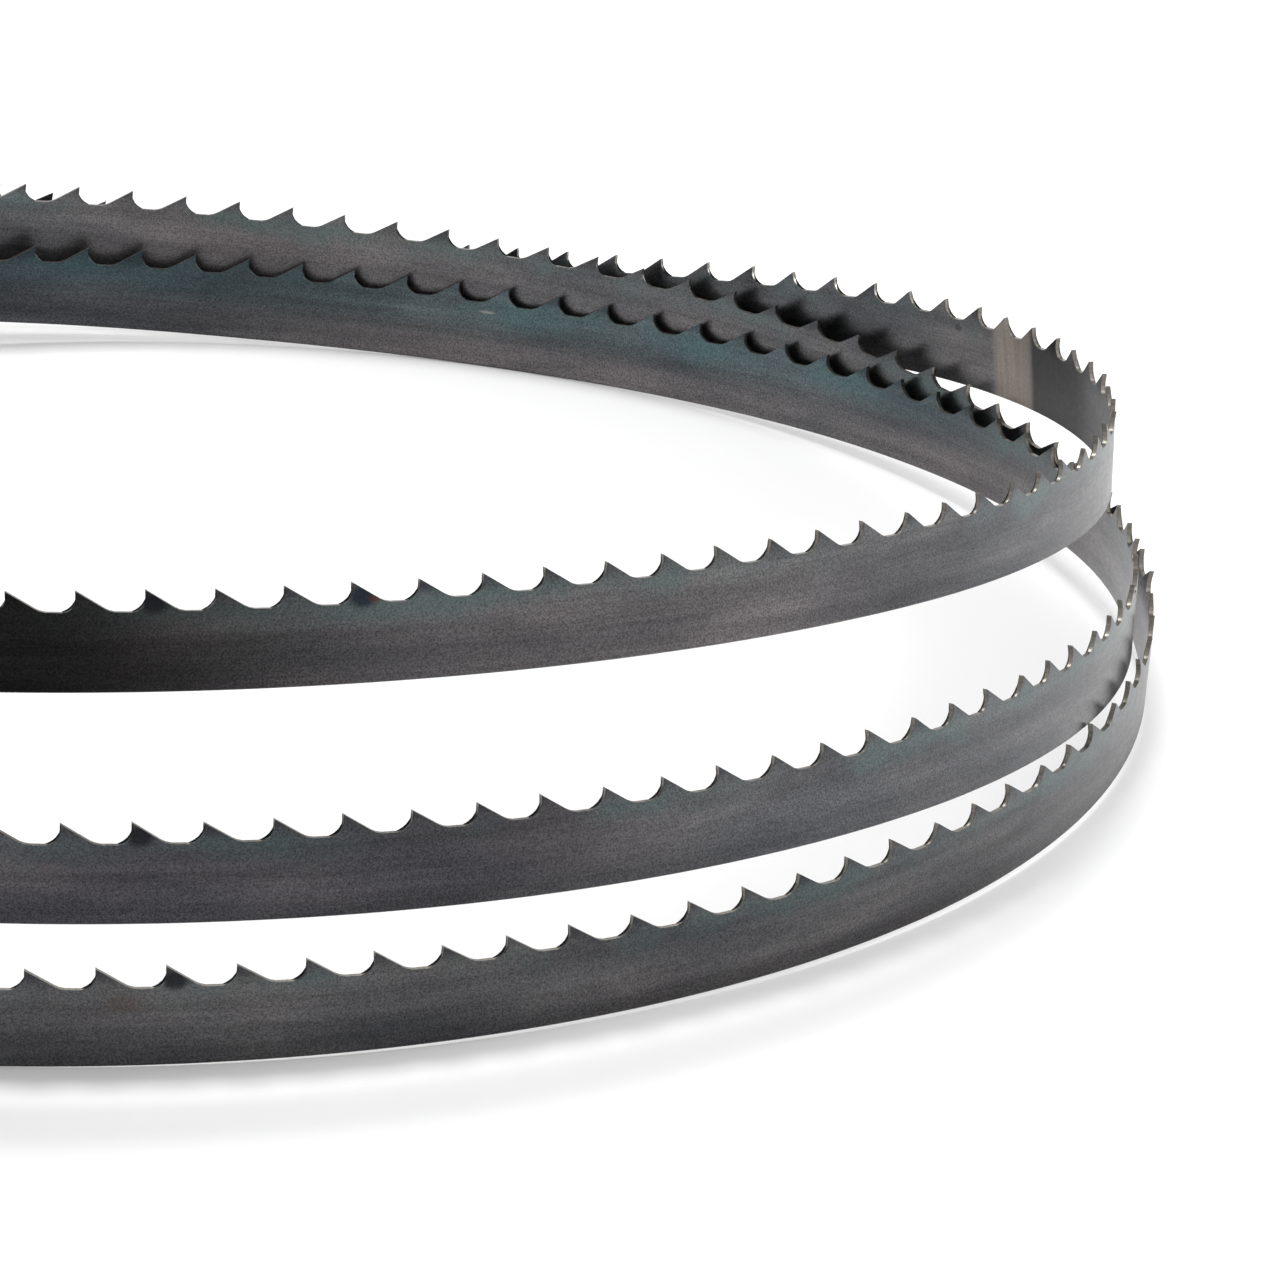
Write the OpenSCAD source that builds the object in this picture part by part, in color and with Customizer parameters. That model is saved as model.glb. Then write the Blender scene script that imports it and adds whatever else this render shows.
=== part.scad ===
// Band saw blade: one endless toothed steel band, coiled in three.
// The coil stands on the band's back edge, with the teeth up, as it rests unheld.
// Origin: on the floor under the middle of the coil. +Z is up. Millimetres.

/* [Band] */
// Width of the band, from the tooth tips to the back edge
band_w = 12.7; // [10:0.1:16]
// Thickness of the band
band_t = 0.65; // [0.5:0.05:0.9]
// Length of the endless loop, measured along its middle
loop_length = 2667; // [2540:1:2794]

/* [Teeth] */
// Distance from tip to tip, trued a little so that whole sets of three close the loop
tooth_pitch = 8.467; // [8:0.001:12.7]
// Depth of the gullets below the tips
gullet_depth = 2.7; // [2:0.1:3.2]
// Angle at which the back of a tooth falls from its tip
back_angle = 32; // [28:1:40]
// Angle by which the front face of a tooth hooks forward over its gullet
hook_angle = 7; // [0:1:12]
// Height of the straight front face, from the tip down to the round of the gullet
face_height = 0.75; // [0.4:0.05:1.2]
// Reach of the round that joins the flat floor of the gullet to the front face
gullet_round = 1.5; // [1.1:0.1:2]
// Sideways set of a bent tooth at its tip
tooth_set = 0.3; // [0:0.01:0.35]
// Depth below the tips at which a tooth is bent sideways
set_depth = 2; // [1.2:0.1:2.6]

/* [Coil] */
// Rise and fall of the strands, where 1 is the way the relaxed coil lies
coil_spread = 1; // [1:0.05:1.6]
// How far the band has slipped round the coil, in tooth pitches
slip = 0.29; // [0:0.01:3]

/* [Hidden] */
steel = [0.25, 0.25, 0.27];

// Stations that lead the band round its three turns, one every 45 degrees. Each turn
// starts at the front and runs to the right, the rear and the left, seen from the front.
// A station is [distance outside the mean circle in hundredths of its radius,
// height in band widths].
top_turn = [
    [-15.5, 3.35], [-22, 3], [-11.75, 2.2], [-4.75, 1.3],
    [-4.5, 0], [16, 2.4], [27.75, 2.55], [24.75, 1.9]];
middle_turn = [
    [6.25, 1.85], [-5.25, 1.6], [-11.5, 0.8], [-10, 0.3],
    [-5.25, 0.1], [-1.75, 1.1], [6.5, 0.35], [19.75, 0.2]];
bottom_turn = [
    [3.75, 0.25], [-5.5, 0.3], [-8.75, 0.35], [-9, 0.75],
    [-3.5, 0.8], [6.25, 1.7], [11.25, 2.15], [-3.25, 2.9]];
route = concat(top_turn, middle_turn, bottom_turn);
station_step = 45;
sweep = len(route) * station_step;
first_azimuth = -90;

// Station i of the closed route, and a smooth cubic run through the stations
function station(i, column) = route[(i + 2 * len(route)) % len(route)][column];
function smooth(a, column) =
    let (i = floor(a / station_step), f = a / station_step - i, g = 1 - f)
    (g * g * g * station(i - 1, column)
    + (3 * f * f * f - 6 * f * f + 4) * station(i, column)
    + (3 * g * g * g - 6 * g * g + 4) * station(i + 1, column)
    + f * f * f * station(i + 2, column)) / 6;
function curving(i, column) =
    station(i - 1, column) - 2 * station(i, column) + station(i + 1, column);

// Middle line of the band at a degrees along the route, for a mean radius r
function height(a) = band_w * coil_spread * smooth(a, 1);
function reach(a, r) = r * (1 + smooth(a, 0) / 100);
function middle(a, r) =
    let (azimuth = first_azimuth + a)
    [reach(a, r) * cos(azimuth), reach(a, r) * sin(azimuth), height(a)];
function run(r) = [for (a = [0:sweep - 1]) norm(middle(a + 1, r) - middle(a, r))];
function total(list) = list * [for (item = list) 1];

// The mean radius follows from the length of the loop
first_r = loop_length / (2 * PI * sweep / 360);
coil_r = first_r * loop_length / total(run(first_r));
way = [for (a = 0, s = 0; a <= sweep; s = s + norm(middle(a + 1, coil_r) - middle(a, coil_r)), a = a + 1) [s, a]];
true_length = way[sweep][0];
tooth_count = 3 * round(loop_length / tooth_pitch / 3);
pitch = true_length / tooth_count;

// A flat band bends only across its thickness, so it leans where its height curves
function lean(a) =
    let (i = floor(a / station_step), f = a / station_step - i)
    let (curve = (1 - f) * curving(i, 1) + f * curving(i + 1, 1))
    let (step = station_step * PI / 180)
    atan(band_w * coil_spread * curve / (step * step) / reach(a, coil_r));

// A point of the band at length s, y above the tips, and out from the middle of its thickness
function unit(v) = v / norm(v);
function along(s) = lookup(s - true_length * floor(s / true_length), way);
function on_band(s, y, out) =
    let (a = along(s), azimuth = first_azimuth + a, tilt = lean(a))
    let (ahead = unit(middle(a + 0.5, coil_r) - middle(a - 0.5, coil_r)))
    let (up = [sin(tilt) * cos(azimuth), sin(tilt) * sin(azimuth), cos(tilt)])
    let (across = unit(up - (up * ahead) * ahead))
    middle(a, coil_r) + (y + band_w / 2) * across + out * cross(ahead, across);

// Outline of one pitch from its tip on, as [length, height from the tip, tooth it belongs to]
back_run = gullet_depth / tan(back_angle);
straight_back = 0.82;
face_x = pitch + face_height * tan(hook_angle);
floor_x = face_x - gullet_round;
function round_point(a) = [
    floor_x + gullet_round * sin(a),
    -gullet_depth + (gullet_depth - face_height) * (1 - cos(a)),
    1];
outline = [
    [0, 0, 0],
    [straight_back * back_run, -straight_back * gullet_depth, 0],
    [0.7 * straight_back * back_run + 0.3 * floor_x, -0.975 * gullet_depth, 0],
    [floor_x, -gullet_depth, 0],
    round_point(30),
    round_point(54),
    round_point(74),
    [face_x, -face_height, 1]];
back_edge_x = floor_x - pitch / 2;
rows = len(outline) + 1;

// Raker set: one tooth bent outward, one straight, one bent inward, and so on
bend_side = [1, 0, -1];
function bent(tooth, y) = bend_side[tooth % 3] * tooth_set * max(0, 1 + y / set_depth);

points = [
    for (tooth = [0:tooth_count - 1])
        for (row = [0:rows - 1])
            for (side = [0.5, -0.5])
                let (mark = row < rows - 1 ? outline[row] : [back_edge_x, -band_w, 0])
                on_band((tooth + slip) * pitch + mark[0], mark[1],
                    side * band_t + bent(tooth + mark[2], mark[1]))];
left = min([for (p = points) p[0]]);
right = max([for (p = points) p[0]]);
front = min([for (p = points) p[1]]);
rear = max([for (p = points) p[1]]);
low = min([for (p = points) p[2]]);

// Numbers of the points: the outer side is 0 and the inner side 1
function id(tooth, row, side) = (((tooth + tooth_count) % tooth_count) * rows + row) * 2 + side;
function gullet_row(tooth, i) = i < 5 ? [tooth - 1, i + 3] : [tooth, i - 4];
function skin(p, q, r) = [
    [id(p[0], p[1], 0), id(q[0], q[1], 0), id(r[0], r[1], 0)],
    [id(p[0], p[1], 1), id(r[0], r[1], 1), id(q[0], q[1], 1)]];
function edge(p, q) = [
    [id(p[0], p[1], 1), id(q[0], q[1], 1), id(q[0], q[1], 0)],
    [id(p[0], p[1], 1), id(q[0], q[1], 0), id(p[0], p[1], 0)]];
faces = [
    for (tooth = [0:tooth_count - 1])
        let (foot = [tooth, rows - 1], next_foot = [tooth + 1, rows - 1])
        each concat(
            [for (i = [0:6]) each skin(foot, gullet_row(tooth, i), gullet_row(tooth, i + 1))],
            skin(foot, [tooth, 3], next_foot),
            skin([tooth - 1, rows - 2], [tooth, 0], [tooth, 1]),
            [for (row = [0:rows - 3]) each edge([tooth, row], [tooth, row + 1])],
            edge([tooth, rows - 2], [tooth + 1, 0]),
            edge(next_foot, foot))];

// The toothed band, centred over the origin with its lowest back edge on the floor
module blade() {
    color(steel)
        translate([-(left + right) / 2, -(front + rear) / 2, -low])
            polyhedron(points, faces, convexity = 20);
}

blade();
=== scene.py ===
# %% [markdown]
# A coiled band saw blade
#
# A band saw blade is one long strip of spring steel with teeth cut along one edge. Its ends
# are welded together, so it is an endless loop. For storage it is twisted into three turns,
# and it springs out a little, so the turns lie loosely over each other.
#
# This lesson builds the blade the way a workshop does. First a flat strip is laid out with
# its teeth, then the teeth are set sideways, and last the strip is bent along the coil.

# %% Load the frame
import math

import bpy
import numpy as np
from mathutils import Matrix, Vector


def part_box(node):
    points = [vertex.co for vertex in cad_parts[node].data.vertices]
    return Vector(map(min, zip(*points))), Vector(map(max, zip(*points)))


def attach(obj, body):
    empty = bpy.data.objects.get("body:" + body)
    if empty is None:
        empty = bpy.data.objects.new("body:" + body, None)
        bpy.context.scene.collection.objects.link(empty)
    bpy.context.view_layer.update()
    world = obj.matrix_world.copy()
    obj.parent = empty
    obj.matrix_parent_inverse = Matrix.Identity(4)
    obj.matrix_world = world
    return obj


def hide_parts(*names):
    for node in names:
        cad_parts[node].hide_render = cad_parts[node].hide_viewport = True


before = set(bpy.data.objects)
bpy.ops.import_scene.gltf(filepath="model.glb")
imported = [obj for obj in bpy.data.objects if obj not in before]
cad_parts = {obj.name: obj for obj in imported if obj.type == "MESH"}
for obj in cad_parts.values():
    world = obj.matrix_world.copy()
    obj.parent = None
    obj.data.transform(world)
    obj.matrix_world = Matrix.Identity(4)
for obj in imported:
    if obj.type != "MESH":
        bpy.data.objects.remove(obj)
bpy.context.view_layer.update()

# %% [markdown]
# Sizes of the real blade
#
# The sizes are kept in millimetres while we think about the object, because blades are
# sold in them. One factor turns them into metres for Blender. The slip says how far the
# band has slid round the coil, counted in teeth, and the weld lies beside tooth 29.

# %% Sizes
MM = 0.001
band_width = 12.7
band_thickness = 0.65
loop_length = 2667.0
tooth_pitch = 8.467
gullet_depth = 2.7
back_angle = 32.0
hook_angle = 7.0
face_height = 0.75
gullet_round = 1.5
tooth_set = 0.3
set_depth = 2.0
teeth_in_set = 3
slip = 0.29
weld_tooth = 29
tooth_count = teeth_in_set * round(loop_length / tooth_pitch / teeth_in_set)
print("teeth round the loop:", tooth_count)

# %% [markdown]
# The route of the coil
#
# A relaxed coil isn't a perfect circle. The route below has a station every 45 degrees, and
# each station says how far outside the mean circle the band lies, in hundredths of its
# radius, and how high, counted in widths of the band. A cubic spline runs smoothly through
# them. It could be drawn by hand as a curve object, but a table of stations keeps the three
# turns even and easy to change.

# %% Stations
top_turn = [
    [-15.5, 3.35], [-22, 3], [-11.75, 2.2], [-4.75, 1.3],
    [-4.5, 0], [16, 2.4], [27.75, 2.55], [24.75, 1.9]]
middle_turn = [
    [6.25, 1.85], [-5.25, 1.6], [-11.5, 0.8], [-10, 0.3],
    [-5.25, 0.1], [-1.75, 1.1], [6.5, 0.35], [19.75, 0.2]]
bottom_turn = [
    [3.75, 0.25], [-5.5, 0.3], [-8.75, 0.35], [-9, 0.75],
    [-3.5, 0.8], [6.25, 1.7], [11.25, 2.15], [-3.25, 2.9]]
route_stations = np.array(top_turn + middle_turn + bottom_turn)
station_step = 45
sweep = len(route_stations) * station_step
print("stations:", len(route_stations), "degrees in all:", sweep)


# %% The smooth run between the stations
def station(number, column):
    """One column of a station. The route is closed, so the numbers run on round it."""
    return route_stations[number % len(route_stations), column]


def past_station(degrees):
    """Number of the last station, and the share of the way to the next one."""
    number = np.floor(degrees / station_step).astype(int)
    return number, degrees / station_step - number


def smooth(degrees, column):
    """Value of one column of the stations, at any angle along the route."""
    number, f = past_station(degrees)
    g = 1 - f
    return (g ** 3 * station(number - 1, column)
            + (3 * f ** 3 - 6 * f ** 2 + 4) * station(number, column)
            + (3 * g ** 3 - 6 * g ** 2 + 4) * station(number + 1, column)
            + f ** 3 * station(number + 2, column)) / 6


def height_bend(number):
    """How sharply the heights turn at a station."""
    return station(number - 1, 1) - 2 * station(number, 1) + station(number + 1, 1)


def curving(degrees):
    """How sharply the height curves at any angle, which makes a flat band lean."""
    number, f = past_station(degrees)
    return (1 - f) * height_bend(number) + f * height_bend(number + 1)


def reach(degrees, radius):
    """How far the band lies from the axis of the coil."""
    return radius * (1 + smooth(degrees, 0) / 100)


def middle(degrees, radius):
    """Points on the middle line of the band."""
    azimuth = np.radians(degrees - 90)
    out = reach(degrees, radius)
    return np.stack([out * np.cos(azimuth), out * np.sin(azimuth),
                     band_width * smooth(degrees, 1)], axis=1)


def line_length(points):
    """Length of a line through points."""
    return np.linalg.norm(np.diff(points, axis=0), axis=1).sum()


whole_route = np.arange(sweep + 1.0)
first_radius = loop_length / (2 * math.pi * sweep / 360)
mean_radius = first_radius * loop_length / line_length(middle(whole_route, first_radius))
coil_length = line_length(middle(whole_route, mean_radius))
pitch = coil_length / tooth_count
print("mean radius", round(mean_radius, 2), "mm, length", round(coil_length, 1), "mm")

# %% [markdown]
# The route as an object
#
# Geometry Nodes can bend things along a curve. So the route becomes a mesh line with one
# point per degree. Each point also carries the direction across the band, because a flat
# strip can't twist freely: where its height curves, it leans in or out a little.


# %% Route line with its leaning direction
def unit(vectors):
    """The same directions, each one unit long."""
    return vectors / np.linalg.norm(vectors, axis=1)[:, None]


degrees = np.arange(float(sweep))
line = middle(degrees, mean_radius)
ahead = unit(middle(degrees + 0.5, mean_radius) - middle(degrees - 0.5, mean_radius))
azimuth = np.radians(degrees - 90)
rise_bend = band_width * curving(degrees) / math.radians(station_step) ** 2
lean = np.arctan(rise_bend / reach(degrees, mean_radius))
up = np.stack([np.sin(lean) * np.cos(azimuth), np.sin(lean) * np.sin(azimuth),
               np.cos(lean)], axis=1)
across = unit(up - (up * ahead).sum(1)[:, None] * ahead)

route_mesh = bpy.data.meshes.new("coil_route")
route_mesh.from_pydata([tuple(point * MM) for point in line],
                       [(i, (i + 1) % sweep) for i in range(sweep)], [])
across_data = route_mesh.attributes.new("across", "FLOAT_VECTOR", "POINT")
across_data.data.foreach_set("vector", across.astype(np.float32).ravel())
blade = bpy.data.objects.new("coiled_blade", route_mesh)
bpy.context.scene.collection.objects.link(blade)
print("route points:", len(route_mesh.vertices))

# %% [markdown]
# One tooth
#
# A hook tooth has a steep front face, a straight back that falls away behind the tip, and
# a broad round gullet that carries the sawdust out. One pitch of it is drawn here from tip
# to tip, with few faces, because it is repeated hundreds of times. The front face belongs
# to the next tooth, which matters when the teeth are set sideways.

# %% Outline of one pitch
straight_back = 0.82
floor_starts = 5.5
back_run = gullet_depth / math.tan(math.radians(back_angle))
face_x = pitch + face_height * math.tan(math.radians(hook_angle))
floor_ends = face_x - gullet_round


def back_point(share):
    """Point on the line of the back, from the tip at 0 to the depth of the floor at 1."""
    return (share * back_run, -share * gullet_depth)


def bend_point(share):
    """Point on the soft bend from the straight back into the flat floor."""
    corners = (back_point(straight_back), back_point(1), (floor_starts, -gullet_depth))
    weights = ((1 - share) ** 2, 2 * share * (1 - share), share ** 2)
    return tuple(sum(w * c[i] for w, c in zip(weights, corners)) for i in (0, 1))


def round_point(angle):
    """Point on the round from the flat floor up to the front face of the next tooth."""
    turn = math.radians(angle)
    return (floor_ends + gullet_round * math.sin(turn),
            -gullet_depth + (gullet_depth - face_height) * (1 - math.cos(turn)))


own_points = [back_point(0), back_point(straight_back / 2)]
own_points += [bend_point(share) for share in (0, 0.35, 0.7)] + [round_point(0)]
next_points = [round_point(angle) for angle in (18, 36, 52, 66, 80)]
next_points += [(face_x, -face_height), (pitch, 0)]
outline = own_points + next_points
columns = len(outline) - 1
print("columns in one pitch:", columns)

# %% Mesh of one pitch, flat, both sides and the cut edge
base_line = 3.3
rises = (0.0, 0.55, 1.0)
top_row = len(rises) - 1


def flat_point(column, rise, side):
    """Point of the tooth, from the base line at rise 0 up to the outline at rise 1."""
    x, y = outline[column]
    base_x = pitch * column / columns
    return ((base_x + (x - base_x) * rise) * MM,
            (-base_line + (y + base_line) * rise) * MM,
            side * band_thickness / 2 * MM)


def number(column, row, side):
    """Number of a point in the mesh. Side 1 is the outer side, and -1 the inner one."""
    return (column * len(rises) + row) * 2 + (0 if side > 0 else 1)


tooth_points = [flat_point(column, rise, side)
                for column in range(columns + 1) for rise in rises for side in (1, -1)]
tooth_faces = []
for c in range(columns):
    for r in range(top_row):
        corners = [(c, r), (c + 1, r), (c + 1, r + 1), (c, r + 1)]
        tooth_faces.append([number(*corners[i], 1) for i in (0, 1, 2, 3)])
        tooth_faces.append([number(*corners[i], -1) for i in (0, 3, 2, 1)])
    tooth_faces.append([number(c, top_row, 1), number(c + 1, top_row, 1),
                        number(c + 1, top_row, -1), number(c, top_row, -1)])
tooth_mesh = bpy.data.meshes.new("one_tooth")
tooth_mesh.from_pydata(tooth_points, [], tooth_faces)
next_data = tooth_mesh.attributes.new("next_tooth", "FLOAT", "POINT")
next_data.data.foreach_set("value", [float(column >= len(own_points))
                                     for column in range(columns + 1)
                                     for _ in range(2 * len(rises))])
one_tooth = bpy.data.objects.new("one_tooth", tooth_mesh)
print("faces in one tooth:", len(tooth_faces))

# %% [markdown]
# The plain part of the band
#
# Below the teeth the band is plain, and its back edge is slightly rounded where it was
# rolled. Its cross section is an open line of a few points. Geometry Nodes repeat it for
# every column of the strip, so that it meets the teeth point for point.

# %% Cross section of the band below the teeth
half = band_thickness / 2
half_way_down = 8.0
softened = 0.15
outer_corners = [(-base_line, half), (-half_way_down, half),
                 (softened - band_width, half), (-band_width, half - softened)]
section_corners = outer_corners + [(y, -z) for y, z in reversed(outer_corners)]
section_mesh = bpy.data.meshes.new("band_section")
section_mesh.from_pydata([(0, y * MM, z * MM) for y, z in section_corners],
                         [(i, i + 1) for i in range(len(section_corners) - 1)], [])
band_section = bpy.data.objects.new("band_section", section_mesh)
print("corners of the cross section:", len(section_corners))

# %% [markdown]
# Helpers for node trees
#
# Every tree below is built with the same small helpers. `add` makes a node and fills its
# inputs, either with a value or with a link from another node. The others write sums.


# %% Node helpers
def first_output(node):
    """The output that is in use. Nodes hide those that their settings don't need."""
    return next(socket for socket in node.outputs if socket.enabled)


class Tree:
    """A node tree that is filled by short calls."""

    def __init__(self, tree):
        self.tree = tree

    def feed(self, socket, value):
        """Fill an input with a value, or link it to a node or to one of its outputs."""
        if isinstance(value, bpy.types.Node):
            value = first_output(value)
        if isinstance(value, bpy.types.NodeSocket):
            self.tree.links.new(value, socket)
        else:
            socket.default_value = value

    def add(self, kind, inputs=None, **settings):
        """Make a node, choose its settings and fill its inputs by their names."""
        node = self.tree.nodes.new(kind)
        for name, value in settings.items():
            setattr(node, name, value)
        for name, value in (inputs or {}).items():
            self.feed(node.inputs[name], value)
        return node

    def maths(self, operation, *values, kind="ShaderNodeMath"):
        """Result of one sum."""
        node = self.add(kind, operation=operation)
        for socket, value in zip(node.inputs, values):
            self.feed(socket, value)
        return first_output(node)

    def times(self, first, *others):
        """Product of several values."""
        for value in others:
            first = self.maths("MULTIPLY", first, value)
        return first

    def vector(self, operation, *vectors):
        """Result of one sum with vectors."""
        return self.maths(operation, *vectors, kind="ShaderNodeVectorMath")

    def scaled(self, vector, amount):
        """A vector made longer or shorter."""
        return self.add("ShaderNodeVectorMath", {0: vector, "Scale": amount}, operation="SCALE")

    def split(self, vector):
        """The outputs X, Y and Z of a vector."""
        return self.add("ShaderNodeSeparateXYZ", {"Vector": vector}).outputs

    def join(self, x=0.0, y=0.0, z=0.0):
        """A vector from three values."""
        return self.add("ShaderNodeCombineXYZ", {"X": x, "Y": y, "Z": z})


print("node helpers ready")

# %% [markdown]
# The blade as a node tree
#
# The tree follows the workshop. It lays the teeth in a row and sets them outward, straight
# and inward in turn, which is called a raker set. It adds the plain band, sews both
# together, writes where each point lies on the flat strip for the materials, and bends the
# whole strip along the route. At the end the two ends meet and are welded.

# %% Tree inputs
band_tree = bpy.data.node_groups.new("band_saw_blade", "GeometryNodeTree")
panel = band_tree.interface
tree_values = {"Teeth": tooth_count, "Pitch": pitch * MM, "Columns": columns,
               "Set": tooth_set * MM, "Set depth": set_depth * MM,
               "Weld tooth": weld_tooth, "Slip": (slip + weld_tooth) * pitch * MM,
               "Band width": band_width * MM, "Loop length": coil_length * MM}


def new_input(name, kind):
    """Give the tree one more named input."""
    panel.new_socket(name, in_out="INPUT", socket_type="NodeSocket" + kind)


new_input("Route", "Geometry")
for name, value in tree_values.items():
    new_input(name, "Int" if isinstance(value, int) else "Float")
for name in ("Tooth", "Section"):
    new_input(name, "Object")
for name in ("Side steel", "Cut steel"):
    new_input(name, "Material")
panel.new_socket("Blade", in_out="OUTPUT", socket_type="NodeSocketGeometry")
nodes = Tree(band_tree)
given = nodes.add("NodeGroupInput").outputs
print("named inputs:", [socket.name for socket in given if socket.name])


# %% Helpers for attributes
def store(geometry, name, value, domain="POINT", kind="FLOAT"):
    """Keep a value on the geometry under a name."""
    return nodes.add("GeometryNodeStoreNamedAttribute",
                     {"Geometry": geometry, "Name": name, "Value": value},
                     data_type=kind, domain=domain)


def stored(name, kind="FLOAT"):
    """Read a value that was stored before."""
    node = nodes.add("GeometryNodeInputNamedAttribute", {"Name": name}, data_type=kind)
    return node.outputs["Attribute"]


def is_less(value, limit):
    """True where a value is below a limit."""
    return nodes.add("FunctionNodeCompare", {0: value, 1: limit},
                     data_type="FLOAT", operation="LESS_THAN")


def shape_of(name):
    """Geometry of an object that is one of the inputs."""
    return nodes.add("GeometryNodeObjectInfo", {"Object": given[name]}).outputs["Geometry"]


print("attribute helpers ready")

# %% Teeth in a row, with their raker set
row = nodes.add("GeometryNodeMeshLine",
                {"Count": given["Teeth"], "Offset": nodes.join(x=given["Pitch"])})
row = store(row, "tooth", nodes.add("GeometryNodeInputIndex"))
teeth = nodes.add("GeometryNodeInstanceOnPoints", {"Points": row, "Instance": shape_of("Tooth")})
teeth = nodes.add("GeometryNodeRealizeInstances", {"Geometry": teeth})
teeth = store(teeth, "own_tooth", nodes.maths("ADD", stored("tooth"), stored("next_tooth")))
route_tooth = nodes.maths("ADD", stored("own_tooth"), given["Weld tooth"])
turn_in_set = nodes.maths("MODULO", route_tooth, float(teeth_in_set))
bend_side = nodes.maths("SUBTRACT", 1.0, turn_in_set)
tooth_height = nodes.split(nodes.add("GeometryNodeInputPosition"))["Y"]
toward_tip = nodes.maths("ADD", nodes.maths("DIVIDE", tooth_height, given["Set depth"]), 1.0)
toward_tip = nodes.maths("MAXIMUM", toward_tip, 0.0)
sideways = nodes.times(bend_side, given["Set"], toward_tip)
teeth = nodes.add("GeometryNodeSetPosition",
                  {"Geometry": teeth, "Offset": nodes.join(z=sideways)})
print("raker set: outward, straight, inward")

# %% Plain band, one column of corners at a time
rows = len(section_corners)
column_total = nodes.maths("ADD", nodes.times(given["Teeth"], given["Columns"]), 1.0)
grid = nodes.add("GeometryNodeMeshGrid",
                 {"Size X": given["Loop length"], "Size Y": 1.0,
                  "Vertices X": column_total, "Vertices Y": rows}).outputs["Mesh"]
on_grid = nodes.split(nodes.add("GeometryNodeInputPosition"))
corner_row = nodes.times(nodes.maths("ADD", on_grid["Y"], 0.5), rows - 1.0)
corner = nodes.add("GeometryNodeSampleIndex",
                   {"Geometry": shape_of("Section"),
                    "Value": nodes.add("GeometryNodeInputPosition"),
                    "Index": nodes.maths("ROUND", corner_row)},
                   data_type="FLOAT_VECTOR", domain="POINT")
corner = nodes.split(corner)
strip_x = nodes.maths("ADD", on_grid["X"], nodes.times(given["Loop length"], 0.5))
band_place = nodes.join(strip_x, corner["Y"], corner["Z"])
band = nodes.add("GeometryNodeSetPosition", {"Geometry": grid, "Position": band_place})
band = nodes.add("GeometryNodeFlipFaces", {"Mesh": band})
print("rows in the plain band:", rows)

# %% Sew teeth and band together and note the place on the flat strip
sewing_distance = 0.02 * MM
strip = nodes.add("GeometryNodeJoinGeometry")
for part in (band, teeth):
    nodes.feed(strip.inputs[0], part)
strip = nodes.add("GeometryNodeMergeByDistance", {"Geometry": strip, "Distance": sewing_distance})
flat = nodes.split(nodes.add("GeometryNodeInputPosition"))
flat_normal = nodes.split(nodes.add("GeometryNodeInputNormal"))
strip = store(strip, "strip", nodes.join(flat["X"], flat["Y"]), domain="CORNER", kind="FLOAT2")
strip = store(strip, "outer_side", flat_normal["Z"], domain="FACE")
print("the strip is sewn")

# %% Bend the strip along the route and weld its ends
travelled = nodes.maths("ADD", flat["X"], given["Slip"])
travelled = nodes.maths("WRAP", travelled, given["Loop length"], 0.0)
on_route = nodes.add("GeometryNodeSampleCurve",
                     {"Curves": nodes.add("GeometryNodeMeshToCurve", {"Mesh": given["Route"]}),
                      "Value": stored("across", "FLOAT_VECTOR"), "Length": travelled},
                     mode="LENGTH", data_type="FLOAT_VECTOR").outputs
across_here = nodes.vector("NORMALIZE", on_route["Value"])
outward = nodes.vector("CROSS_PRODUCT", on_route["Tangent"], across_here)
outward = nodes.vector("NORMALIZE", outward)
lift = nodes.maths("ADD", flat["Y"], nodes.times(given["Band width"], 0.5))
placed = nodes.vector("ADD", on_route["Position"], nodes.scaled(across_here, lift))
placed = nodes.vector("ADD", placed, nodes.scaled(outward, flat["Z"]))
coiled = nodes.add("GeometryNodeSetPosition", {"Geometry": strip, "Position": placed})
coiled = nodes.add("GeometryNodeMergeByDistance",
                   {"Geometry": coiled, "Distance": sewing_distance})
print("the strip is bent along the route")

# %% Keep the cut edges crisp and give each face its steel
crisp_angle = math.radians(40)
side_facing = 0.6
edge_angle = nodes.add("GeometryNodeInputMeshEdgeAngle").outputs["Unsigned Angle"]
coiled = nodes.add("GeometryNodeSetShadeSmooth",
                   {"Geometry": coiled, "Shade Smooth": True}, domain="FACE")
coiled = nodes.add("GeometryNodeSetShadeSmooth",
                   {"Geometry": coiled, "Shade Smooth": is_less(edge_angle, crisp_angle)},
                   domain="EDGE")
coiled = nodes.add("GeometryNodeRealizeInstances", {"Geometry": coiled})
is_cut = is_less(nodes.maths("ABSOLUTE", stored("outer_side")), side_facing)
coiled = nodes.add("GeometryNodeSetMaterial",
                   {"Geometry": coiled, "Material": given["Side steel"]})
coiled = nodes.add("GeometryNodeSetMaterial",
                   {"Geometry": coiled, "Material": given["Cut steel"], "Selection": is_cut})
nodes.add("NodeGroupOutput", {"Blade": coiled})
print("nodes in the tree:", len(band_tree.nodes))

# %% [markdown]
# Patterns that follow the strip
#
# The grain of rolled steel runs along the strip, round every turn of the coil. So the
# patterns read the place on the flat strip that the tree stored, and not the place in the
# room. A class keeps the helpers for this, because both steels need them.


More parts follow.
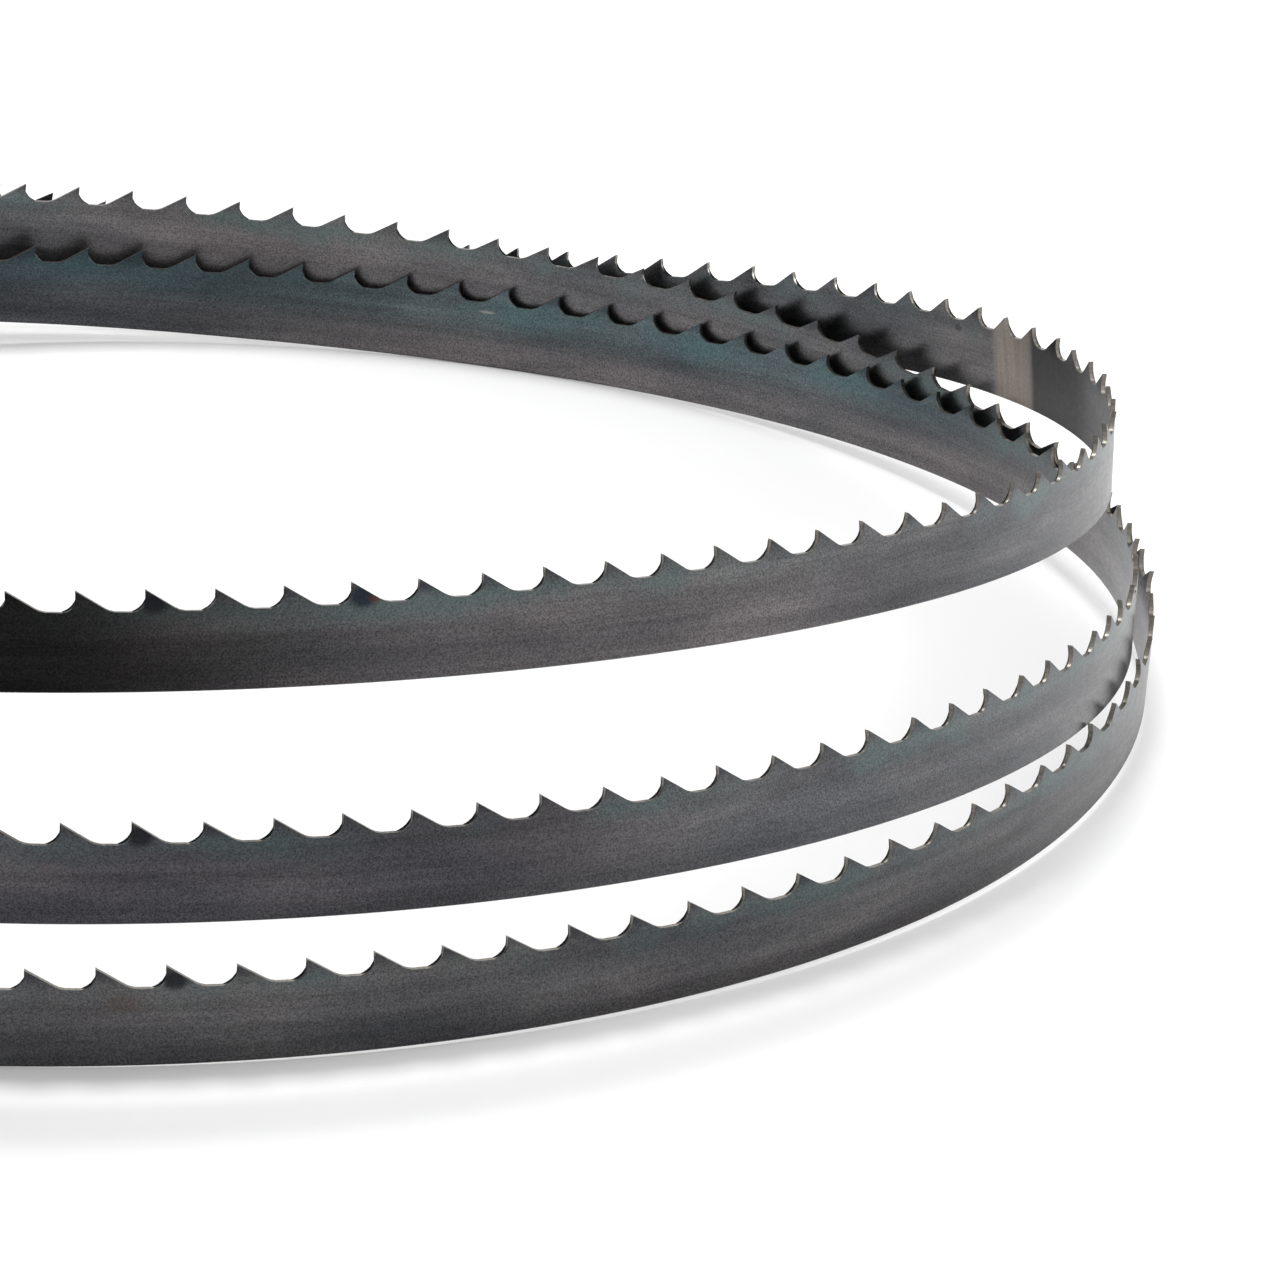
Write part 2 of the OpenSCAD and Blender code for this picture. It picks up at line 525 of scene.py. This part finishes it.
# %% Helpers for the finishes
class Finish(Tree):
    """A material whose patterns follow the flat strip."""

    def __init__(self, name):
        self.material = bpy.data.materials.new(name)
        self.material.use_nodes = True
        self.material.node_tree.nodes.clear()
        super().__init__(self.material.node_tree)
        place = self.split(self.add("ShaderNodeUVMap", uv_map="strip").outputs["UV"])
        self.along = place["X"]
        self.up = place["Y"]
        self.side_shift = 0.0

    def noise_at(self, place, detail=3.0, rough=0.5):
        """Noise at a place of our own making."""
        node = self.add("ShaderNodeTexNoise",
                        {"Vector": place, "Scale": 1.0, "Detail": detail, "Roughness": rough})
        return node.outputs["Fac"]

    def noise(self, scale_along, scale_up, detail=3.0, shift=0.0):
        """Noise stretched along the strip: the two scales are features per metre."""
        place = self.join(self.times(self.along, scale_along), self.times(self.up, scale_up),
                          self.maths("ADD", self.side_shift, shift))
        return self.noise_at(place, detail, rough=0.55)

    def ramp(self, value, *stops):
        """Colour ramp: each stop is (place, colour), and a single number is a grey."""
        node = self.add("ShaderNodeValToRGB", {"Fac": value})
        bar = node.color_ramp.elements
        while len(bar) > 1:
            bar.remove(bar[-1])
        for count, (where, colour) in enumerate(stops):
            stop = bar.new(where) if count else bar[0]
            stop.position = where
            stop.color = (*colour, 1) if isinstance(colour, tuple) else (colour, colour, colour, 1)
        return node.outputs["Color"]

    def mix(self, amount, below, above, blend="MIX"):
        """Lay one colour over another, by an amount from 0 to 1."""
        node = self.add("ShaderNodeMix", data_type="RGBA", blend_type=blend)
        if isinstance(above, tuple):
            above = (*above, 1)
        in_use = [socket for socket in node.inputs if socket.enabled]
        for socket, value in zip(in_use, (amount, below, above)):
            self.feed(socket, value)
        return first_output(node)

    def shade(self, colour, value, *stops):
        """Darken and lighten a colour by a grey ramp."""
        return self.mix(1.0, colour, self.ramp(value, *stops), "MULTIPLY")

    def fade(self, value, start, end):
        """1 at start, falling smoothly to 0 at end."""
        node = self.add("ShaderNodeMapRange",
                        {"Value": value, "From Min": start, "From Max": end,
                         "To Min": 1.0, "To Max": 0.0}, interpolation_type="SMOOTHSTEP")
        return node.outputs["Result"]

    def close(self, colour, roughness, **more):
        """Make the steel of this colour and roughness the finished surface."""
        shader = self.add("ShaderNodeBsdfPrincipled",
                          {"Base Color": colour, "Metallic": 1.0, "Roughness": roughness, **more})
        self.add("ShaderNodeOutputMaterial", {"Surface": shader})


print("finish helpers ready")

# %% [markdown]
# Bare gunmetal
#
# The sides of the strip are hardened spring steel with a dark gunmetal skin. A few noises
# make it: long thin lines for the rolled grain, broad faint bands along the strip, a fine
# even speckle, and slow clouds in which the grey turns slightly brown or blue. The two sides
# get different patterns, because the pattern is shifted by the way a face looked when the
# strip was still flat.

# %% Grain, speckle and clouds
steel = Finish("blued_side_steel")
outer_side = steel.add("ShaderNodeAttribute", attribute_name="outer_side").outputs["Fac"]
steel.side_shift = steel.times(outer_side, 7.3)
below_tip = steel.times(steel.up, -1.0 / MM)
grain = steel.noise(110, 4200, 4)
speckle = steel.noise(4200, 4200, 2, shift=5.0)
cloud = steel.noise(38, 150, 3, shift=3.0)
warmth = steel.noise(16, 40, 2, shift=21.0)
rolled_bands = steel.noise(9, 330, 2, shift=31.0)
steel_colour = steel.ramp(cloud, (0.3, (0.064, 0.064, 0.069)), (0.5, (0.1, 0.098, 0.102)),
                          (0.7, (0.158, 0.15, 0.151)))
warm_or_cool = steel.ramp(warmth, (0.35, (0.074, 0.08, 0.088)), (0.65, (0.145, 0.126, 0.127)))
steel_colour = steel.mix(0.4, steel_colour, warm_or_cool)
steel_colour = steel.shade(steel_colour, rolled_bands, (0.35, 0.82), (0.65, 1.16))
steel_colour = steel.shade(steel_colour, grain, (0.28, 0.88), (0.72, 1.12))
steel_colour = steel.shade(steel_colour, speckle, (0.3, 0.55), (0.7, 1.45))
print("bare steel has", len(steel.tree.nodes), "nodes so far")

# %% [markdown]
# Heat tint, and painted shade on a few teeth
#
# The teeth are hardened by heat that fades into the band. It leaves blue-green patches under
# the gullets, stronger in some places than in others. A few teeth are painted darker than
# their neighbours, as painted shade for the darker reflection of teeth that are set sideways.
# Each point knows which tooth it belongs to, so such a tooth is darkened whole.

# %% Tint under the gullets
waver = steel.times(steel.maths("SUBTRACT", steel.noise(120, 90, 3, shift=9.0), 0.5), 7.0)
tint_depth = steel.maths("ADD", below_tip, waver)
patches = steel.ramp(steel.noise(55, 30, 2, shift=15.0), (0.4, 0.05), (0.62, 1.0))
tint = steel.times(steel.fade(tint_depth, 2.8, 6.4), steel.fade(below_tip, 2.6, 0.4), patches)
tint_colour = steel.ramp(speckle, (0.3, (0.062, 0.088, 0.089)), (0.7, (0.14, 0.178, 0.173)))
steel_colour = steel.mix(steel.times(tint, 0.72), steel_colour, tint_colour)
print("tint added,", len(steel.tree.nodes), "nodes")

# %% Painted shade on a few teeth, and darker tips
own_tooth = steel.add("ShaderNodeAttribute", attribute_name="own_tooth").outputs["Fac"]
tooth_chance = steel.add("ShaderNodeTexWhiteNoise", {"W": steel.maths("ROUND", own_tooth)},
                         noise_dimensions="1D").outputs["Value"]
# Painted shade: a few teeth, chosen at random, are darkened to stand for the darker reflection of
# teeth set sideways.
painted_reflection_darkness = steel.ramp(tooth_chance, (0.0, 0.4), (0.2, 0.25), (0.35, 0.08), (1.0, 0.0))
painted_dark_reflection_teeth = steel.times(steel.fade(below_tip, 0.8, 3.0), painted_reflection_darkness)
steel_colour = steel.mix(painted_dark_reflection_teeth, steel_colour, (0.017, 0.021, 0.027))
tip_tint = steel.times(steel.fade(below_tip, 0.3, 1.8), 0.3)
steel_colour = steel.mix(tip_tint, steel_colour, (0.02, 0.03, 0.038))
print("teeth tinted,", len(steel.tree.nodes), "nodes")

# %% [markdown]
# The weld
#
# The ends of the strip are butt welded, and the joint is ground flush, which leaves a light
# tan field across the band with a darker one beside it. The strip starts at the weld, so that
# field also covers the place where the pattern begins and ends.

# %% Ground weld
weld_width = 12.0
weld_middle = -1.8
half_loop = coil_length * MM / 2
from_weld = steel.maths("ADD", steel.along, half_loop - weld_middle * MM)
from_weld = steel.maths("WRAP", from_weld, 2 * half_loop, 0.0)
from_weld = steel.maths("SUBTRACT", from_weld, half_loop)
mm_from_weld = steel.times(from_weld, 1 / MM)
grinding = steel.noise_at(steel.join(steel.times(from_weld, 900.0), steel.times(steel.up, 70.0)))
waver = steel.times(steel.maths("SUBTRACT", grinding, 0.5), 1.2)
weld_reach = steel.maths("ADD", steel.maths("ABSOLUTE", mm_from_weld), waver)
ground = steel.fade(weld_reach, weld_width / 2 - 1.0, weld_width / 2 + 1.0)
ground_colour = steel.ramp(grinding, (0.3, (0.2, 0.168, 0.148)), (0.7, (0.28, 0.238, 0.208)))
ground_colour = steel.shade(ground_colour, speckle, (0.3, 0.8), (0.7, 1.2))
beside = steel.times(steel.fade(mm_from_weld, -5.0, -3.0),
                     steel.fade(steel.times(mm_from_weld, -1.0), 24.0, 34.0))
steel_colour = steel.mix(steel.times(beside, 0.9), steel_colour, (0.012, 0.011, 0.014))
steel_colour = steel.mix(steel.times(ground, 0.85), steel_colour, ground_colour)
print("weld is", weld_width, "mm wide")

# %% [markdown]
# Fields and marks
#
# Single marks that no noise would put in the right place: broad darker fields, three of
# them painted shade on the outer sides of the front strands, a blue-green tint, a few teeth
# with a painted dark reflection on their front, a spot of rust, a scratch. Each is a soft
# oval that is laid on one side of the strip. Its place along the strip is counted in teeth.


# %% How a mark is laid on
def marked(colour_below, at, below, long, high, side, colour, strength, blend="MIX"):
    """Lay a soft oval on the colour below. Its places and sizes are in millimetres."""
    dx = steel.maths("DIVIDE", steel.maths("SUBTRACT", steel.along, at * MM), long * MM)
    dy = steel.maths("DIVIDE", steel.maths("SUBTRACT", below_tip, below), high)
    spread = steel.maths("ADD", steel.times(dx, dx), steel.times(dy, dy))
    inside = steel.fade(steel.maths("SQRT", spread), 0.4, 1.1)
    on_side = steel.fade(steel.times(outer_side, float(-side)), -0.5, 0.5)
    return steel.mix(steel.times(inside, on_side, strength), colour_below, colour, blend)


OUTER = 1
INNER = -1
print("a mark fades out at 1.1 times its size")

# %% Broad fields, which darken or tint what is below them; the first three are painted shade
painted_shade_and_tint_fields = [
    # Painted shade: darkens the outer side of the top front strand, which reflects little light
    # there.
    (280 * pitch, 9.0, 76.0, 26.0, OUTER, (0.1, 0.1, 0.1), 0.95),
    # Painted shade: darkens the outer side of the middle front strand, where the light is weaker.
    (78 * pitch, 8.0, 80.0, 24.0, OUTER, (0.55, 0.55, 0.58), 1.0),
    # Painted shade: darkens the outer side of the bottom front strand, where the light is weaker.
    (186 * pitch, 8.0, 110.0, 24.0, OUTER, (0.78, 0.78, 0.78), 1.0),
    (123 * pitch, 2.0, 150.0, 7.5, INNER, (0.8, 1.04, 1.08), 1.0),
    (133 * pitch, 8.0, 70.0, 24.0, INNER, (0.5, 0.55, 0.58), 1.0)]
for field in painted_shade_and_tint_fields:
    steel_colour = marked(steel_colour, *field, blend="MULTIPLY")
print("fields:", len(painted_shade_and_tint_fields))

# %% Small marks; the dark tooth fronts are painted shade
# Painted shade: the fronts of three teeth are darkened for the darker reflection of teeth set
# sideways.
painted_dark_reflection_fronts = [(tooth * pitch + 1.0, 1.7, 2.1, 1.6, OUTER, (0.012, 0.013, 0.015), 0.85)
               for tooth in (78, 183, 285)]
blue_tooth = (288 * pitch + 1.3, 1.9, 2.3, 1.7, OUTER, (0.013, 0.02, 0.03), 0.85)
rust = (288 * pitch + 2.9, 2.1, 1.2, 0.6, OUTER, (0.085, 0.03, 0.022), 0.6)
brown_patch = (182.4 * pitch, 4.7, 3.0, 1.6, OUTER, (0.08, 0.058, 0.046), 0.3)
dark_dot = (1.65 * pitch, 3.9, 1.2, 0.6, INNER, (0.02, 0.022, 0.03), 0.6)
scratch = (123.4 * pitch, 4.1, 1.6, 0.25, INNER, (0.35, 0.33, 0.3), 0.6)
painted_shade_and_wear_marks = painted_dark_reflection_fronts + [blue_tooth, rust, brown_patch, dark_dot, scratch]
for small_mark in painted_shade_and_wear_marks:
    steel_colour = marked(steel_colour, *small_mark)
print("small marks:", len(painted_shade_and_wear_marks))

# %% Gloss of the side steel
roughness = steel.ramp(steel.noise(500, 1800, 3, shift=12.0), (0.3, 0.29), (0.7, 0.36))
relief = steel.maths("ADD", steel.times(grain, 0.45), speckle)
bump = steel.add("ShaderNodeBump", {"Strength": 0.25, "Distance": 0.02 * MM, "Height": relief})
steel.close(steel_colour, roughness, Normal=bump)
print("side steel nodes:", len(steel.tree.nodes))

# %% [markdown]
# Cut edges
#
# The teeth are milled and ground, so their cut faces and the back edge are brighter steel
# than the skin, with the faint lines of the wheel.

# %% Steel for the cut faces of the teeth and the back edge
cut = Finish("ground_cut_steel")
milling = cut.noise(3500, 3500, 3)
cut_colour = cut.ramp(milling, (0.3, (0.15, 0.14, 0.125)), (0.7, (0.26, 0.24, 0.21)))
cut.close(cut_colour, cut.ramp(milling, (0.3, 0.32), (0.7, 0.42)))
print("cut steel nodes:", len(cut.tree.nodes))

# %% [markdown]
# Make the blade
#
# The modifier gets its named inputs by their identifiers. Its result is turned into a plain
# mesh, which is then centred over the origin with its lowest back edge on the floor, just
# as the solid model is. That piece takes the place of the plain solid.

# %% Run the tree and keep its mesh
wrap = blade.modifiers.new("band_saw_blade", "NODES")
wrap.node_group = band_tree
identifier = {item.name: item.identifier for item in panel.items_tree if item.in_out == "INPUT"}
tree_values.update({"Tooth": one_tooth, "Section": band_section,
                    "Side steel": steel.material, "Cut steel": cut.material})
for name, value in tree_values.items():
    wrap[identifier[name]] = value
bpy.context.view_layer.update()
evaluated = blade.evaluated_get(bpy.context.evaluated_depsgraph_get())
finished = bpy.data.meshes.new_from_object(evaluated)
finished.materials.pop(index=0)
blade.modifiers.clear()
blade.data = finished
for helper in (one_tooth, band_section):
    bpy.data.objects.remove(helper)
print("points:", len(finished.vertices), "faces:", len(finished.polygons))

# %% Centre the mesh where the solid stands
corners = np.zeros(len(finished.vertices) * 3, np.float32)
finished.vertices.foreach_get("co", corners)
corners = corners.reshape(-1, 3)
low_corner, high_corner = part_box("blade")
cad_middle = (np.array(low_corner) + np.array(high_corner)) / 2
shift = cad_middle - (corners.min(0) + corners.max(0)) / 2
shift[2] = low_corner[2] - corners[:, 2].min()
finished.transform(Matrix.Translation(Vector(shift.tolist())))
print("shift to the frame, mm:", (shift / MM).round(3))

# %% Hand the piece to the frame
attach(blade, "root")
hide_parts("blade")
print("materials on the blade:", list(blade.data.materials))

# %% [markdown]
# Floor, background and light
#
# The blade stands on a white sheet in soft light from above, and the background is plain
# white. The camera sees the floor as white, apart from the shadow that the blade throws.
# Farther off the sheet only glows, so that it meets the background without an edge.


# %% White floor that keeps the shadow
def looked_at(tree):
    """1 for what the camera sees, straight, in a reflection or through something clear."""
    ray = tree.add("ShaderNodeLightPath").outputs
    seen = tree.maths("MAXIMUM", ray["Is Camera Ray"], ray["Is Glossy Ray"])
    return tree.maths("MAXIMUM", seen, ray["Is Transmission Ray"])


WHITE = (1, 1, 1, 1)
SHEET = (0.8, 0.8, 0.8, 1)
floor_reach = 4
floor_mesh = bpy.data.meshes.new("floor")
floor_mesh.from_pydata([(x * floor_reach, y * floor_reach, 0)
                        for x, y in ((-1, -1), (1, -1), (1, 1), (-1, 1))], [], [(0, 1, 2, 3)])
floor = bpy.data.objects.new("floor", floor_mesh)
bpy.context.scene.collection.objects.link(floor)
floor_white = bpy.data.materials.new("floor_white")
floor_white.use_nodes = True
floor_white.node_tree.nodes.clear()
paper = Tree(floor_white.node_tree)
sheet = paper.add("ShaderNodeBsdfDiffuse", {"Color": SHEET})
glow = paper.add("ShaderNodeEmission", {"Color": WHITE, "Strength": 0.12})
near = paper.add("ShaderNodeAddShader", {0: sheet, 1: glow})
distance = paper.vector("LENGTH", paper.add("ShaderNodeTexCoord").outputs["Object"])
far_off = paper.add("ShaderNodeMapRange", {"Value": distance, "From Min": 0.4, "From Max": 0.9},
                    interpolation_type="SMOOTHSTEP").outputs["Result"]
white = paper.add("ShaderNodeEmission", {"Color": WHITE, "Strength": 1.0})
both = paper.add("ShaderNodeMixShader", {0: far_off, 1: near, 2: white})
surface = paper.add("ShaderNodeMixShader", {0: looked_at(paper), 1: sheet, 2: both})
paper.add("ShaderNodeOutputMaterial", {"Surface": surface})
floor_mesh.materials.append(floor_white)
print("floor:", floor.dimensions[:])

# %% World
world = bpy.data.worlds.new("studio")
bpy.context.scene.world = world
world.use_nodes = True
world.node_tree.nodes.clear()
room = Tree(world.node_tree)
soft_room = room.add("ShaderNodeBackground", {"Color": WHITE, "Strength": 0.5})
white_wall = room.add("ShaderNodeBackground", {"Color": WHITE, "Strength": 1.0})
walls = room.add("ShaderNodeMixShader", {0: looked_at(room), 1: soft_room, 2: white_wall})
room.add("ShaderNodeOutputWorld", {"Surface": walls})
print("world:", world.name)


# %% Lamps
def softbox(name, place, aim, size, watts):
    """A square soft lamp at a place, turned to the point that it lights."""
    lamp = bpy.data.lights.new(name, "AREA")
    lamp.shape = "SQUARE"
    lamp.size = size
    lamp.energy = watts
    holder = bpy.data.objects.new(name, lamp)
    holder.location = place
    turn = (Vector(aim) - Vector(place)).to_track_quat("-Z", "Y")
    holder.rotation_euler = turn.to_euler()
    bpy.context.scene.collection.objects.link(holder)


softbox("key_softbox", (-0.06, 0.56, 1.42), (0, 0, 0), 0.62, 14.5)
softbox("fill_softbox", (0.4, -0.5, 1.8), (0, 0, 0), 1.6, 4)
softbox("side_softbox", (0.9, 0.25, 0.3), (0.1, 0, 0.03), 0.4, 6.5)
print("lamps:", len(bpy.data.lights))

# %% [markdown]
# Camera
#
# The photograph was taken from a little above, close to the blade with a long lens, so the
# nearer teeth look only slightly larger than the far ones. The camera is also rolled a
# little, and its place is given in millimetres from the middle of the coil.

# %% Camera at the photograph's angle
elevation = math.radians(20.4615)
turned = math.radians(2.1917)
roll = math.radians(2.3020)
camera_place = Vector((47.9886, -886.6685, 334.0888)) * MM
camera_data = bpy.data.cameras.new("camera")
camera_data.sensor_fit = "HORIZONTAL"
camera_data.sensor_width = 36
camera_data.lens = 190.714
camera_data.clip_start = 0.05
camera = bpy.data.objects.new("camera", camera_data)
forward = Vector((math.sin(turned) * math.cos(elevation),
                  math.cos(turned) * math.cos(elevation), -math.sin(elevation)))
right = Vector((math.cos(turned), -math.sin(turned), 0))
above = right.cross(forward)
camera_right = right * math.cos(roll) + above * math.sin(roll)
camera_above = above * math.cos(roll) - right * math.sin(roll)
view = Matrix((camera_right, camera_above, -forward)).transposed().to_4x4()
view.translation = camera_place
camera.matrix_world = view
bpy.context.scene.collection.objects.link(camera)
bpy.context.scene.camera = camera
bpy.context.scene.view_settings.view_transform = "Standard"
print("camera at", camera.location[:])
